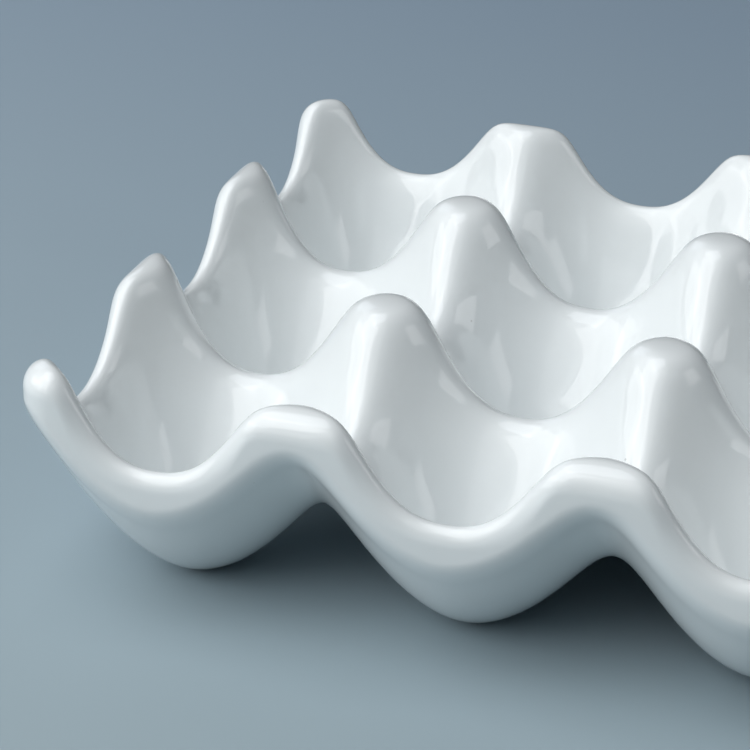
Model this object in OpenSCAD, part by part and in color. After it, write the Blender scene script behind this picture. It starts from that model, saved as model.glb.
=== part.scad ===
// Egg tray: one glazed casting of round cups in rows, standing on small bare feet.
// Lengths are in millimetres. +Z is up and +X runs along the rows.
// The origin is on the table, under the middle of the tray.

/* [Cups] */
// distance between the middles of neighbouring cups
cup_pitch = 52; // [46:1:60]
// height of the peaks above the table
peak_height = 45.4; // [42:0.1:54]
// height of the inside of a cup at its middle above the table
cup_floor = 3.9; // [3.5:0.1:7]
// rise of a wall between two cups from its cup's middle to half a pitch, as if it stood alone
wall_rise = 36.2; // [31:0.1:40]
// how fast the inside turns from bowl to such a wall
wall_power = 2.46; // [2:0.01:2.8]
// length over which two walls melt into one ridge
ridge_melt = 20.6; // [14:0.1:24]
// length that sets how much the ridges climb towards the peaks
peak_reach = 91; // [65:1:120]
// length over which a wall melts into the flat top of a peak
peak_melt = 2.7; // [1:0.1:3.5]

/* [Rim] */
// distance of the outline inside the outer grid lines of the cups
rim_inset = 0.7; // [0:0.1:3]
// plan radius of the corners of the outline
corner_radius = 7.3; // [5:0.1:12]
// rise of an outer wall from its cup's middle to half a pitch, as if it had no rim
outer_rise = 44.2; // [38:0.1:50]
// how fast the inside turns from bowl to outer wall
outer_power = 2.5; // [2:0.01:3]
// rise of an outer wall from the cup floor to the level top of the rim
rim_rise = 26.6; // [23:0.1:30]
// length over which an outer wall melts into the level top of the rim
rim_melt = 3.4; // [1:0.1:5]
// radius of the upper edge of the rim beside a cup
rim_radius = 3.9; // [2:0.1:5]
// radius of the upper edge of the rim at a peak
peak_roll = 4.8; // [3:0.1:6]
// radius of the lower edge of the rim
rim_under_radius = 2.6; // [1.5:0.1:4]
// rise of an outer bowl from its bottom to the lower edge of the rim
lip_rise = 22.3; // [19:0.1:25]
// length over which an outer bowl melts into the lower edge of the rim
lip_melt = 2.1; // [1:0.1:4]

/* [Underside] */
// height of a bowl's round bottom, as if it were not cut flat, measured from the table
bowl_bottom = -0.6; // [-1.2:0.1:-0.3]
// rise of the underside from a cup's middle to half a pitch, as if it stood alone
under_rise = 25.1; // [22:0.1:28]
// how fast the underside turns from bowl to wall
under_power = 1.89; // [1.7:0.01:2.4]
// length over which two bowls melt into one arch
arch_melt = 9; // [6:0.1:14]
// length that sets how much the arches sink under the peaks
arch_fall = 206; // [150:1:400]
// highest level of the underside below the peaks
arch_height = 40.2; // [34:0.1:42]
// length over which an arch melts into its highest level
arch_soften = 2.1; // [1:0.1:3]
// least upright thickness of the casting
least_wall = 3; // [2:0.1:3.5]
// least height of the upright band of the rim
least_band = 0.3; // [0.2:0.1:1]

/* [Feet] */
// radius of a bare foot
foot_radius = 4; // [3:0.1:5]
// height of a bare foot
foot_height = 0.5; // [0.3:0.1:1]
// width of the flat under a bowl beyond its foot
foot_land = 0.5; // [0.2:0.1:1]

/* [Hidden] */
cups_long = 4;
cups_wide = 3;
grid_steps = 7;
roll_steps = 5;
foot_sides = 64;
right_angle = 90;
slope_step_share = 0.02;
slope_step = cup_pitch * slope_step_share;
tray_long = cups_long * cup_pitch;
tray_wide = cups_wide * cup_pitch;
half_long = tray_long / 2 - rim_inset;
half_wide = tray_wide / 2 - rim_inset;
rim_valley = cup_floor + rim_rise;
flat_half = foot_radius + foot_land;
roll_width = max(rim_radius, peak_roll, rim_under_radius, corner_radius);
glaze_colour = [0.93, 0.94, 0.94];
bare_colour = [0.86, 0.82, 0.75];

// place of the middle of a cup along one direction
function cup_middle(index, count) = (index + 1 / 2 - count / 2) * cup_pitch;

// sum of a list of numbers
function total(list) = list * [for (item = list) 1];

// height of a free wall at a distance from the middle of its cup
function free_wall(away, rise, power) = rise * pow(2 * abs(away) / cup_pitch, power);

// walls of all the cups along one direction, melted together
function melted(at, count, rise, power, melt) =
    -melt * ln(total([
        for (index = [0 : count - 1])
            exp(-free_wall(at - cup_middle(index, count), rise, power) / melt)
    ]));

// two levels melted into the lower one
function lower_of(one, other, melt) = -melt * ln(exp(-one / melt) + exp(-other / melt));

// how far a place lies beyond the middle of the last cup along one direction
function beyond_last(at, count) = abs(at) - cup_middle(count - 1, count);

// inside wave along one direction, whose outer walls end at the level top of the rim
function inside_wave(at, count) =
    let (beyond = beyond_last(at, count))
    beyond > 0
        ? lower_of(free_wall(beyond, outer_rise, outer_power), rim_rise, rim_melt)
        : melted(at, count, wall_rise, wall_power, ridge_melt);

// underside wave along one direction, whose outer bowls end at the lower edge of the rim
function under_wave(at, count) =
    let (plain = melted(at, count, under_rise, under_power, arch_melt))
    beyond_last(at, count) > 0 ? lower_of(plain, lip_rise, lip_melt) : plain;

// level of the inside before its edge is rolled
function plain_top(place) =
    let (along = inside_wave(place.x, cups_long))
    let (across = inside_wave(place.y, cups_wide))
    lower_of(peak_height, cup_floor + along + across + along * across / peak_reach, peak_melt);

// level of the underside before its edge is rolled
function plain_under(place) =
    let (along = under_wave(place.x, cups_long))
    let (across = under_wave(place.y, cups_wide))
    lower_of(arch_height, bowl_bottom + along + across - along * across / arch_fall, arch_soften);

// how far a place lies beyond the centre of the nearest corner's arc, along both directions
function beyond_centre(place) =
    [abs(place.x) - (half_long - corner_radius), abs(place.y) - (half_wide - corner_radius)];

// distance inside the rounded outline
function inside_outline(place) =
    let (over = beyond_centre(place))
    let (out = min(over) > 0 ? norm(over) : max(over))
    max(corner_radius - out, 0);

// a short step along the outline from the part of it nearest to a place
function edge_step(place) =
    let (over = beyond_centre(place))
    min(over) > 0
        ? [-sign(place.x) * over.y, sign(place.y) * over.x] * slope_step / norm(over)
        : over.x > over.y ? [0, slope_step] : [slope_step, 0];

// how much longer an upright cut of the rim is than a cut square to its edge line
function lean(level_ahead, level_behind) =
    norm([1, (level_ahead - level_behind) / (2 * slope_step)]);

// height that a rounded edge takes away at a distance inside the outline
function rolled(inside, radius) =
    inside >= radius ? 0 : radius - sqrt(max(radius * radius - pow(radius - inside, 2), 0));

// radius of the rim's upper edge, growing from the valleys to the peaks
function edge_radius(level) =
    let (climb = max(min((level - rim_valley) / (peak_height - rim_valley), 1), 0))
    rim_radius + (peak_roll - rim_radius) * climb;

// level of the glazed inside
function top_level(place) =
    let (plain = plain_top(place))
    let (roll = rolled(inside_outline(place), edge_radius(plain)))
    let (go = edge_step(place))
    roll == 0 ? plain : plain - roll * lean(plain_top(place + go), plain_top(place - go));

// distance from the middle of the nearest cup along one direction
function from_middle(at, count) =
    min([for (index = [0 : count - 1]) abs(at - cup_middle(index, count))]);

// level of the underside, flat where a foot is
function under_level(place) =
    let (inside = inside_outline(place))
    let (roll = rolled(inside, rim_under_radius))
    let (go = edge_step(place))
    let (lift = roll == 0 ? 0 : roll * lean(plain_under(place + go), plain_under(place - go)))
    let (kept = min(plain_under(place) + lift, top_level(place) - min(least_band + inside, least_wall)))
    let (off = max(from_middle(place.x, cups_long), from_middle(place.y, cups_wide)))
    off <= flat_half ? foot_height : max(kept, foot_height);

// a square grid place moved so that the outline's corners are round
function rounded_place(place) =
    let (over = beyond_centre(place))
    let (share_x = over.x / corner_radius)
    let (share_y = over.y / corner_radius)
    min(over) > 0
        ? [
            sign(place.x) * (half_long - corner_radius + over.x * sqrt(1 - share_y * share_y / 2)),
            sign(place.y) * (half_wide - corner_radius + over.y * sqrt(1 - share_x * share_x / 2))
        ]
        : place;

// evenly spaced places from one to another, without the last
function even(from, to, steps) = [for (step = [0 : steps - 1]) from + (to - from) * step / steps];

// places across the rolled edge, closer together towards the outline
function roll_places() =
    [for (step = [0 : roll_steps - 1]) roll_width * (1 - cos(right_angle * step / roll_steps))];

// places from the edge of a cup to the flat under it, as distances from its middle
function half_lines(reach, outer) =
    outer
        ? concat([for (place = roll_places()) reach - place], even(reach - roll_width, flat_half, grid_steps))
        : even(reach, flat_half, grid_steps);

// grid lines of one cup along one direction
function cup_lines(index, count, outline) =
    let (middle = cup_middle(index, count))
    let (low = half_lines(index == 0 ? middle + outline : cup_pitch / 2, index == 0))
    let (high = half_lines(index == count - 1 ? outline - middle : cup_pitch / 2, index == count - 1))
    concat(
        [for (away = low) middle - away],
        [middle - flat_half, middle, middle + flat_half],
        [for (step = [len(high) - 1 : -1 : 0]) middle + high[step]]
    );

// two triangles of a four-sided patch, cut along one diagonal or the other
function patch(one, two, three, four, cut_first) =
    cut_first ? [[one, two, three], [one, three, four]] : [[one, two, four], [two, three, four]];

// triangles of a cup: inside, underside and the four walls round it
function cup_faces(long, wide) =
    let (under = long * wide)
    concat(
        [
            for (a = [0 : long - 2], b = [0 : wide - 2])
                let (at = a * wide + b)
                let (same_side = (2 * a + 2 - long) * (2 * b + 2 - wide) > 0)
                each patch(at, at + 1, at + wide + 1, at + wide, same_side)
        ],
        [
            for (a = [0 : long - 2], b = [0 : wide - 2])
                let (at = under + a * wide + b)
                let (same_side = (2 * a + 2 - long) * (2 * b + 2 - wide) > 0)
                each patch(at, at + wide, at + wide + 1, at + 1, same_side)
        ],
        [
            for (b = [0 : wide - 2])
                each patch(b + 1, b, under + b, under + b + 1, true)
        ],
        [
            for (b = [0 : wide - 2])
                let (at = (long - 1) * wide + b)
                each patch(at, at + 1, under + at + 1, under + at, true)
        ],
        [
            for (a = [0 : long - 2])
                let (at = a * wide)
                each patch(at, at + wide, under + at + wide, under + at, true)
        ],
        [
            for (a = [0 : long - 2])
                let (at = a * wide + wide - 1)
                each patch(at + wide, at, under + at, under + at + wide, true)
        ]
    );

// one cup with its share of the ridges, peaks and rim
module cup(column, row) {
    x_lines = cup_lines(column, cups_long, half_long);
    y_lines = cup_lines(row, cups_wide, half_wide);
    places = [for (x = x_lines, y = y_lines) rounded_place([x, y])];
    tops = [for (place = places) [place.x, place.y, top_level(place)]];
    unders = [for (place = places) [place.x, place.y, under_level(place)]];
    color(glaze_colour)
        polyhedron(points = concat(tops, unders), faces = cup_faces(len(x_lines), len(y_lines)));
}

// one bare foot under the middle of a cup
module foot(column, row) {
    color(bare_colour)
        translate([cup_middle(column, cups_long), cup_middle(row, cups_wide), 0])
            cylinder(r = foot_radius, h = foot_height, $fn = foot_sides);
}

module cup_front_1() {
    cup(0, 0);
}

module cup_front_2() {
    cup(1, 0);
}

module cup_front_3() {
    cup(2, 0);
}

module cup_front_4() {
    cup(3, 0);
}

module cup_middle_1() {
    cup(0, 1);
}

module cup_middle_2() {
    cup(1, 1);
}

module cup_middle_3() {
    cup(2, 1);
}

module cup_middle_4() {
    cup(3, 1);
}

module cup_back_1() {
    cup(0, 2);
}

module cup_back_2() {
    cup(1, 2);
}

module cup_back_3() {
    cup(2, 2);
}

module cup_back_4() {
    cup(3, 2);
}

module foot_front_1() {
    foot(0, 0);
}

module foot_front_2() {
    foot(1, 0);
}

module foot_front_3() {
    foot(2, 0);
}

module foot_front_4() {
    foot(3, 0);
}

module foot_middle_1() {
    foot(0, 1);
}

module foot_middle_2() {
    foot(1, 1);
}

module foot_middle_3() {
    foot(2, 1);
}

module foot_middle_4() {
    foot(3, 1);
}

module foot_back_1() {
    foot(0, 2);
}

module foot_back_2() {
    foot(1, 2);
}

module foot_back_3() {
    foot(2, 2);
}

module foot_back_4() {
    foot(3, 2);
}

cup_front_1();
cup_front_2();
cup_front_3();
cup_front_4();
cup_middle_1();
cup_middle_2();
cup_middle_3();
cup_middle_4();
cup_back_1();
cup_back_2();
cup_back_3();
cup_back_4();
foot_front_1();
foot_front_2();
foot_front_3();
foot_front_4();
foot_middle_1();
foot_middle_2();
foot_middle_3();
foot_middle_4();
foot_back_1();
foot_back_2();
foot_back_3();
foot_back_4();
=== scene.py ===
import math

import bpy
import numpy as np
from mathutils import Matrix, Vector


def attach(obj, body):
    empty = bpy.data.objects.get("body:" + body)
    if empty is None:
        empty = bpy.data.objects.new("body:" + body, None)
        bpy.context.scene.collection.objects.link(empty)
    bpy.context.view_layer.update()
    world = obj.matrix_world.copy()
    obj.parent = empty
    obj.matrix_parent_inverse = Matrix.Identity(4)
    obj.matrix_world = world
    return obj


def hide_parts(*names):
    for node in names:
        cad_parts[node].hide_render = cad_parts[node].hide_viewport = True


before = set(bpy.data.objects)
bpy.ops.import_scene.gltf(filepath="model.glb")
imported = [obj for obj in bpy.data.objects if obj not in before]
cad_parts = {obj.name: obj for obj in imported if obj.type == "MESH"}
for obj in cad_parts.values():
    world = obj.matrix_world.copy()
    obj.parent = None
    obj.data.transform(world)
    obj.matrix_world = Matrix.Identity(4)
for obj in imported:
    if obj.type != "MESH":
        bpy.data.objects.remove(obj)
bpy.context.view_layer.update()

MM = 0.001

# Sizes of the tray in millimetres and powers of its curves, as in the part's source.
CUPS_LONG, CUPS_WIDE = 4, 3
PITCH = 52.0
PEAK_HEIGHT = 45.4
CUP_FLOOR = 3.9
WALL_RISE, WALL_POWER = 36.2, 2.46
RIDGE_MELT, PEAK_REACH, PEAK_MELT = 20.6, 91.0, 2.7
RIM_INSET, CORNER_RADIUS = 0.7, 7.3
OUTER_RISE, OUTER_POWER = 44.2, 2.5
RIM_RISE, RIM_MELT = 26.6, 3.4
RIM_RADIUS, PEAK_ROLL, RIM_UNDER_RADIUS = 3.9, 4.8, 2.6
BOWL_BOTTOM, UNDER_RISE, UNDER_POWER = -0.6, 25.1, 1.89
ARCH_MELT, ARCH_FALL, ARCH_HEIGHT, ARCH_SOFTEN = 9.0, 206.0, 40.2, 2.1
LIP_RISE, LIP_MELT = 22.3, 2.1
LEAST_WALL, LEAST_BAND = 3.0, 0.3
FOOT_RADIUS, FOOT_HEIGHT = 4.0, 0.5
SLOPE_STEP_SHARE = 0.02
SLOPE_STEP = PITCH * SLOPE_STEP_SHARE
HALF_LONG = CUPS_LONG * PITCH / 2 - RIM_INSET
HALF_WIDE = CUPS_WIDE * PITCH / 2 - RIM_INSET
RIM_VALLEY = CUP_FLOOR + RIM_RISE

# Only in the scene: soft turns at the feet, in millimetres and radians, and the meshes' fineness.
FOOT_SOFTEN, FOOT_EDGE, FOOT_FLAT_SHARE = 0.12, 0.18, 0.55
FOOT_EDGE_ANGLES = (0.5, 1.05, math.pi / 2)
FOOT_SIDES = 48
GRID_STEP, ROLL_STEPS, BAND_ROWS = 0.9, 16, 5

# Keeps a division by a distance from meeting zero.
TINY = 1e-9

# Colours.
GLAZE_DARK, GLAZE_PALE = (0.810, 0.853, 0.862, 1), (0.830, 0.872, 0.878, 1)
SPECK = (0.36, 0.36, 0.34, 1)
CLAY_DARK, CLAY_PALE = (0.62, 0.58, 0.52, 1), (0.74, 0.71, 0.66, 1)
# The floor's two tones are painted light: paler near the viewer, darker far away, standing in for the lamps'
# falloff.
FLOOR_LIT_NEAR, FLOOR_SHADED_FAR = (0.320, 0.404, 0.439, 1), (0.270, 0.357, 0.443, 1)
WORLD = (0.75, 0.88, 1.0, 1)
WHITE, COOL, COOLER, BLUISH = (1, 1, 1), (0.96, 0.99, 1.03), (0.86, 0.95, 1.06), (0.76, 0.92, 1.16)

# Reach of the floor and of its painted falloff of light (paler near, darker far) in metres, and the
# surrounding light.
FLOOR_HALF, FLOOR_NEAR_Y, FLOOR_FAR_Y = 6.0, -0.15, 0.30
WORLD_STRENGTH = 0.01

# The photograph's camera: focal length in pixels, turns in radians, places in cup distances.
FOCAL_PIXELS, IMAGE_PIXELS = 2396.0, 750.0
AZIMUTH, ELEVATION, ROLL = math.radians(17.52), math.radians(26.04), math.radians(1.60)
CAMERA_AWAY, AIM_LONG, AIM_WIDE = 7.8555, 1.1461, 0.4125
SENSOR_WIDTH, CLIP_START = 36.0, 0.01


# The shape of the casting.

def middle(index, count):
    """Place of the middle of a cup along one direction."""
    return (index + 0.5 - count / 2) * PITCH


def melted(at, count, rise, power, melt):
    """Walls of all the cups along one direction, melted together."""
    walls = [rise * (2 * np.abs(at - middle(i, count)) / PITCH) ** power for i in range(count)]
    return -melt * np.log(sum(np.exp(-wall / melt) for wall in walls))


def lower_of(one, other, melt):
    """Two levels melted into the lower one."""
    return -melt * np.log(np.exp(-one / melt) + np.exp(-other / melt))


def beyond_last(at, count):
    """How far a place lies beyond the middle of the last cup along one direction."""
    return np.abs(at) - middle(count - 1, count)


def inside_wave(at, count):
    """Rise of the inside along one direction, with the outermost half cup rising to the rim."""
    beyond = beyond_last(at, count)
    outer = OUTER_RISE * (2 * np.maximum(beyond, 0) / PITCH) ** OUTER_POWER
    inner = melted(at, count, WALL_RISE, WALL_POWER, RIDGE_MELT)
    return np.where(beyond > 0, lower_of(outer, RIM_RISE, RIM_MELT), inner)


def under_wave(at, count):
    """Rise of the underside along one direction, with the outermost half bowl rising to the lip."""
    plain = melted(at, count, UNDER_RISE, UNDER_POWER, ARCH_MELT)
    return np.where(beyond_last(at, count) > 0, lower_of(plain, LIP_RISE, LIP_MELT), plain)


def plain_top(x, y):
    """Height of the inside before its edge is rolled."""
    along, across = inside_wave(x, CUPS_LONG), inside_wave(y, CUPS_WIDE)
    walls = CUP_FLOOR + along + across + along * across / PEAK_REACH
    return lower_of(PEAK_HEIGHT, walls, PEAK_MELT)


def plain_under(x, y):
    """Height of the underside before its edge is rolled."""
    along, across = under_wave(x, CUPS_LONG), under_wave(y, CUPS_WIDE)
    bowls = BOWL_BOTTOM + along + across - along * across / ARCH_FALL
    return lower_of(ARCH_HEIGHT, bowls, ARCH_SOFTEN)


def beyond_corner_centre(x, y):
    """How far a place lies beyond the centre of the outline's corner, in each direction."""
    return np.abs(x) - (HALF_LONG - CORNER_RADIUS), np.abs(y) - (HALF_WIDE - CORNER_RADIUS)


def inside_outline(x, y):
    """Distance inside the rounded outline."""
    over_x, over_y = beyond_corner_centre(x, y)
    corner = CORNER_RADIUS - np.hypot(over_x, over_y)
    straight = CORNER_RADIUS - np.maximum(over_x, over_y)
    return np.maximum(np.where((over_x > 0) & (over_y > 0), corner, straight), 0)


def lean(level, x, y):
    """How much longer an upright cut of the rim is than a cut square to its edge line."""
    over_x, over_y = beyond_corner_centre(x, y)
    corner = (over_x > 0) & (over_y > 0)
    far = np.hypot(over_x, over_y) + TINY
    go_x = SLOPE_STEP * np.where(corner, -np.sign(x) * over_y / far, over_x <= over_y)
    go_y = SLOPE_STEP * np.where(corner, np.sign(y) * over_x / far, over_x > over_y)
    slope = (level(x + go_x, y + go_y) - level(x - go_x, y - go_y)) / (2 * SLOPE_STEP)
    return np.sqrt(1 + slope * slope)


def rolled(inside, radius):
    """Height that a rounded edge takes away at a distance inside the outline."""
    left = np.clip(radius - inside, 0, radius)
    return radius - np.sqrt(np.maximum(radius * radius - left * left, 0))


def top_level(x, y):
    """Height of the inside, with a rim that is rolled more widely on the peaks."""
    plain = plain_top(x, y)
    share = np.clip((plain - RIM_VALLEY) / (PEAK_HEIGHT - RIM_VALLEY), 0, 1)
    radius = RIM_RADIUS + (PEAK_ROLL - RIM_RADIUS) * share
    return plain - rolled(inside_outline(x, y), radius) * lean(plain_top, x, y)


def under_level(x, y):
    """Height of the underside, which keeps a least wall and never dips below the feet's tops."""
    inside = inside_outline(x, y)
    wanted = plain_under(x, y) + rolled(inside, RIM_UNDER_RADIUS) * lean(plain_under, x, y)
    kept = np.minimum(wanted, top_level(x, y) - np.minimum(LEAST_BAND + inside, LEAST_WALL))
    return -lower_of(-FOOT_HEIGHT, -kept, FOOT_SOFTEN)


def grid_lines(half):
    """Places of the grid lines along one direction, closer together towards the outline."""
    edge = [CORNER_RADIUS * (1 - math.cos(math.pi / 2 * k / ROLL_STEPS)) for k in range(ROLL_STEPS)]
    count = int(round(2 * (half - CORNER_RADIUS) / GRID_STEP))
    inner = np.linspace(-half + CORNER_RADIUS, half - CORNER_RADIUS, count + 1)
    return np.concatenate([[-half + e for e in edge], inner, [half - e for e in reversed(edge)]])


def rounded_places(x, y):
    """A square grid moved so that the outline's corners are round."""
    over_x, over_y = beyond_corner_centre(x, y)
    share_x = np.clip(over_x / CORNER_RADIUS, 0, 1)
    share_y = np.clip(over_y / CORNER_RADIUS, 0, 1)
    both = (share_x > 0) & (share_y > 0)
    round_x = HALF_LONG - CORNER_RADIUS + CORNER_RADIUS * share_x * np.sqrt(1 - share_y ** 2 / 2)
    round_y = HALF_WIDE - CORNER_RADIUS + CORNER_RADIUS * share_y * np.sqrt(1 - share_x ** 2 / 2)
    return np.where(both, np.sign(x) * round_x, x), np.where(both, np.sign(y) * round_y, y)


# The pieces.

def make_object(name, points, faces, material):
    mesh = bpy.data.meshes.new(name)
    mesh.from_pydata([tuple(p) for p in points], [], faces)
    mesh.materials.append(material)
    mesh.polygons.foreach_set("use_smooth", [True] * len(mesh.polygons))
    mesh.update()
    obj = bpy.data.objects.new(name, mesh)
    bpy.context.scene.collection.objects.link(obj)
    return obj


def edge_ring(nx, ny):
    """Numbers of the points along the edge of the grid, once around."""
    loop = [(a, 0) for a in range(nx - 1)] + [(nx - 1, b) for b in range(ny - 1)]
    loop += [(a, ny - 1) for a in range(nx - 1, 0, -1)] + [(0, b) for b in range(ny - 1, 0, -1)]
    return [a * ny + b for a, b in loop]


def tray_shell(material):
    gx, gy = np.meshgrid(grid_lines(HALF_LONG), grid_lines(HALF_WIDE), indexing="ij")
    gx, gy = rounded_places(gx, gy)
    nx, ny = gx.shape
    count = nx * ny
    top = np.stack([gx, gy, top_level(gx, gy)], -1).reshape(-1, 3)
    under = np.stack([gx, gy, under_level(gx, gy)], -1).reshape(-1, 3)
    points = [top, under]
    faces = []
    for a in range(nx - 1):
        for b in range(ny - 1):
            i = a * ny + b
            j = count + i
            faces.append((i, i + ny, i + ny + 1, i + 1))
            faces.append((j, j + 1, j + ny + 1, j + ny))
    # The upright band of the rim, row by row from the upper edge to the lower one.
    ring = edge_ring(nx, ny)
    rows = [ring]
    for k in range(1, BAND_ROWS):
        share = k / BAND_ROWS
        start = 2 * count + (k - 1) * len(ring)
        points.append(top[ring] * (1 - share) + under[ring] * share)
        rows.append(list(range(start, start + len(ring))))
    rows.append([count + i for i in ring])
    for upper, lower in zip(rows, rows[1:]):
        for k in range(len(ring)):
            n = (k + 1) % len(ring)
            faces.append((upper[k], lower[k], lower[n], upper[n]))
    return make_object("tray_shell", np.concatenate(points) * MM, faces, material)


def foot_rings():
    """Radius and height of each ring of a foot, from its flat underside to its top."""
    rings = [(FOOT_RADIUS * FOOT_FLAT_SHARE, 0.0), (FOOT_RADIUS - FOOT_EDGE, 0.0)]
    for angle in FOOT_EDGE_ANGLES:
        radius = FOOT_RADIUS - FOOT_EDGE + FOOT_EDGE * math.sin(angle)
        rings.append((radius, FOOT_EDGE - FOOT_EDGE * math.cos(angle)))
    return rings + [(FOOT_RADIUS, FOOT_HEIGHT)]


def add_foot(points, faces, cx, cy):
    """Adds a foot's points and faces to those of the feet before it."""
    bottom = len(points)
    points.append((cx, cy, 0.0))
    rings = foot_rings()
    for radius, height in rings:
        for k in range(FOOT_SIDES):
            turn = 2 * math.pi * k / FOOT_SIDES
            points.append((cx + radius * math.cos(turn), cy + radius * math.sin(turn), height))
    top = len(points)
    points.append((cx, cy, FOOT_HEIGHT))
    starts = [bottom + 1 + row * FOOT_SIDES for row in range(len(rings))]
    for k in range(FOOT_SIDES):
        n = (k + 1) % FOOT_SIDES
        faces.append((bottom, starts[0] + n, starts[0] + k))
        for low, high in zip(starts, starts[1:]):
            faces.append((low + k, low + n, high + n, high + k))
        faces.append((starts[-1] + k, starts[-1] + n, top))


def bare_feet(material):
    points, faces = [], []
    for j in range(CUPS_WIDE):
        for i in range(CUPS_LONG):
            add_foot(points, faces, middle(i, CUPS_LONG), middle(j, CUPS_WIDE))
    return make_object("bare_feet", np.array(points) * MM, faces, material)


# Materials.

def set_inputs(tree, node, inputs):
    """Sets each named input of a node to a constant, or links it to another node's output."""
    for name, value in inputs.items():
        if isinstance(value, bpy.types.NodeSocket):
            tree.links.new(value, node.inputs[name])
        else:
            node.inputs[name].default_value = value


def add_node(tree, kind, inputs):
    node = tree.nodes.new(kind)
    set_inputs(tree, node, inputs)
    return node


def add_ramp(tree, factor, *stops):
    """The colour of a ramp between two stops, each a position and a colour."""
    ramp = add_node(tree, "ShaderNodeValToRGB", {"Fac": factor})
    for element, (position, colour) in zip(ramp.color_ramp.elements, stops):
        element.position = position
        element.color = colour
    return ramp.outputs["Color"]


def new_material(name):
    """A material with a principled surface, and the place on the object for its textures."""
    material = bpy.data.materials.new(name)
    material.use_nodes = True
    tree = material.node_tree
    tree.nodes.clear()
    surface = tree.nodes.new("ShaderNodeBsdfPrincipled")
    add_node(tree, "ShaderNodeOutputMaterial", {"Surface": surface.outputs["BSDF"]})
    place = tree.nodes.new("ShaderNodeTexCoord").outputs["Object"]
    return material, tree, surface, place


def glazed_porcelain():
    material, tree, surface, place = new_material("glazed_porcelain")
    cloud = add_node(tree, "ShaderNodeTexNoise", {"Vector": place, "Scale": 28.0, "Detail": 3.0})
    tone = add_ramp(tree, cloud.outputs["Fac"], (0.35, GLAZE_DARK), (0.68, GLAZE_PALE))
    # A few pinhole specks, where the surface passes close to the centre of a cell.
    cells = add_node(tree, "ShaderNodeTexVoronoi", {"Vector": place, "Scale": 80.0})
    near = add_node(tree, "ShaderNodeMapRange", {
        "Value": cells.outputs["Distance"],
        "From Min": 0.012,
        "From Max": 0.026,
        "To Min": 0.5,
        "To Max": 0.0,
    })
    speckled = tree.nodes.new("ShaderNodeMix")
    speckled.data_type = "RGBA"
    set_inputs(tree, speckled, {"Factor": near.outputs["Result"], "A": tone, "B": SPECK})
    # The glaze lies a little unevenly over the casting.
    wave = add_node(tree, "ShaderNodeTexNoise", {"Vector": place, "Scale": 48.0, "Detail": 1.0})
    bump = add_node(tree, "ShaderNodeBump", {
        "Height": wave.outputs["Fac"],
        "Strength": 1.0,
        "Distance": 0.00014,
    })
    set_inputs(tree, surface, {
        "Base Color": speckled.outputs["Result"],
        "Roughness": 0.45,
        "IOR": 1.5,
        "Specular IOR Level": 0.3,
        "Coat Weight": 1.0,
        "Coat Roughness": 0.03,
        "Coat IOR": 1.5,
        "Normal": bump.outputs["Normal"],
        "Coat Normal": bump.outputs["Normal"],
    })
    return material


def bare_porcelain():
    material, tree, surface, place = new_material("bare_porcelain")
    grain = add_node(tree, "ShaderNodeTexNoise", {"Vector": place, "Scale": 900.0, "Detail": 4.0})
    tone = add_ramp(tree, grain.outputs["Fac"], (0.3, CLAY_DARK), (0.7, CLAY_PALE))
    bump = add_node(tree, "ShaderNodeBump", {
        "Height": grain.outputs["Fac"],
        "Strength": 0.3,
        "Distance": 0.0001,
    })
    set_inputs(tree, surface, {
        "Base Color": tone,
        "Roughness": 0.85,
        "Normal": bump.outputs["Normal"],
    })
    return material


shell = tray_shell(glazed_porcelain())
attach(shell, "root")
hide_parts(*[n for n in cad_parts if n.startswith("cup_")])

feet = bare_feet(bare_porcelain())
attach(feet, "root")
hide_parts(*[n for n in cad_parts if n.startswith("foot_")])


# Floor, camera and light.

def floor():
    """A plain floor with painted falloff of light: paler towards the viewer, darker away from it."""
    material, tree, surface, place = new_material("floor")
    parts = add_node(tree, "ShaderNodeSeparateXYZ", {"Vector": place})
    back = add_node(tree, "ShaderNodeMapRange", {
        "Value": parts.outputs["Y"],
        "From Min": FLOOR_NEAR_Y,
        "From Max": FLOOR_FAR_Y,
    })
    # Painted falloff of light: the floor's colour darkens from near to far.
    tone = add_ramp(tree, back.outputs["Result"], (0.0, FLOOR_LIT_NEAR), (1.0, FLOOR_SHADED_FAR))
    set_inputs(tree, surface, {"Base Color": tone, "Roughness": 0.7})
    signs = ((-1, -1), (1, -1), (1, 1), (-1, 1))
    corners = [(x * FLOOR_HALF, y * FLOOR_HALF, 0) for x, y in signs]
    obj = make_object("floor", corners, [(0, 1, 2, 3)], material)


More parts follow.
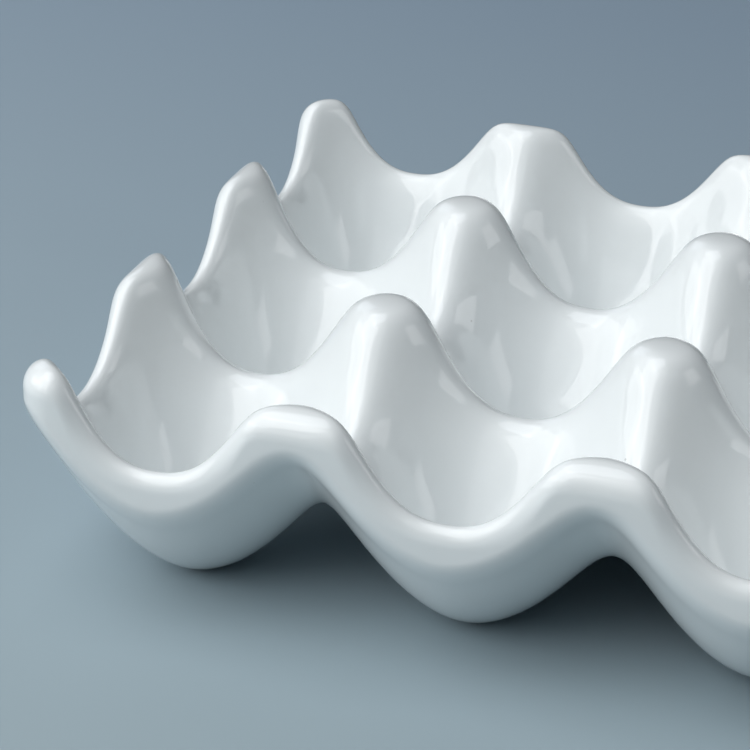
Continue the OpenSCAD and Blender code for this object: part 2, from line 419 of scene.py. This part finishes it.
def photo_camera():
    """The camera fitted to the photograph, aimed at a place at the height of the peaks."""
    flat = math.cos(ELEVATION)
    ahead = Vector((-math.sin(AZIMUTH) * flat, math.cos(AZIMUTH) * flat, -math.sin(ELEVATION)))
    level = Vector((math.cos(AZIMUTH), math.sin(AZIMUTH), 0))
    upright = level.cross(ahead)
    right = level * math.cos(ROLL) + upright * math.sin(ROLL)
    up = upright * math.cos(ROLL) - level * math.sin(ROLL)
    aim_x = (AIM_LONG - CUPS_LONG / 2) * PITCH * MM
    aim_y = (AIM_WIDE - CUPS_WIDE / 2) * PITCH * MM
    eye = Vector((aim_x, aim_y, PEAK_HEIGHT * MM)) - ahead * (CAMERA_AWAY * PITCH * MM)
    lens = bpy.data.cameras.new("camera")
    lens.sensor_fit = "HORIZONTAL"
    lens.sensor_width = SENSOR_WIDTH
    lens.lens = FOCAL_PIXELS * SENSOR_WIDTH / IMAGE_PIXELS
    lens.clip_start = CLIP_START
    camera = bpy.data.objects.new("camera", lens)
    camera.matrix_world = Matrix((
        (right.x, up.x, -ahead.x, eye.x),
        (right.y, up.y, -ahead.y, eye.y),
        (right.z, up.z, -ahead.z, eye.z),
        (0, 0, 0, 1),
    ))
    bpy.context.scene.collection.objects.link(camera)
    bpy.context.scene.camera = camera


def softbox(name, azimuth, elevation, distance, width, height, power, colour=WHITE):
    """A flat lamp aimed at the tray; azimuth 0 is towards +Y, positive towards +X."""
    a, e = math.radians(azimuth), math.radians(elevation)
    place = Vector((math.sin(a) * math.cos(e), math.cos(a) * math.cos(e), math.sin(e))) * distance
    lamp = bpy.data.lights.new(name, "AREA")
    lamp.shape = "RECTANGLE"
    lamp.size, lamp.size_y = width, height
    lamp.energy = power
    lamp.color = colour
    obj = bpy.data.objects.new(name, lamp)
    obj.location = place
    obj.rotation_euler = (-place).to_track_quat("-Z", "Y").to_euler()
    bpy.context.scene.collection.objects.link(obj)


def softboxes():
    """The lamps, in degrees, metres and watts."""
    softbox("key", azimuth=-132, elevation=41, distance=1.1, width=0.87, height=0.67, power=3.8)
    softbox("tent", azimuth=-120, elevation=47, distance=1.8, width=2.4, height=2.0, power=10.6)
    softbox("top", azimuth=-112, elevation=72, distance=1.3, width=0.9, height=0.8, power=5.4, colour=COOL)
    softbox("front", azimuth=-172, elevation=48, distance=1.8, width=1.4, height=1.2, power=3.4)
    softbox("low_left", azimuth=-112, elevation=18, distance=1.3, width=0.9, height=0.45, power=2.1)
    softbox("low_front", azimuth=-145, elevation=16, distance=1.3, width=0.8, height=0.4, power=1.1)
    softbox("back", azimuth=-50, elevation=32, distance=1.3, width=0.7, height=0.6, power=1.1, colour=COOLER)
    softbox("right", azimuth=93, elevation=29.5, distance=1.1, width=0.42, height=0.34, power=0.75)
    softbox("fill", azimuth=80, elevation=38, distance=1.8, width=2.0, height=1.6, power=0.6, colour=BLUISH)


def surrounding_light():
    world = bpy.data.worlds.new("studio")
    world.use_nodes = True
    tree = world.node_tree
    set_inputs(tree, tree.nodes["Background"], {"Color": WORLD, "Strength": WORLD_STRENGTH})
    bpy.context.scene.world = world


floor()
photo_camera()
softboxes()
surrounding_light()
bpy.context.scene.view_settings.view_transform = "Standard"
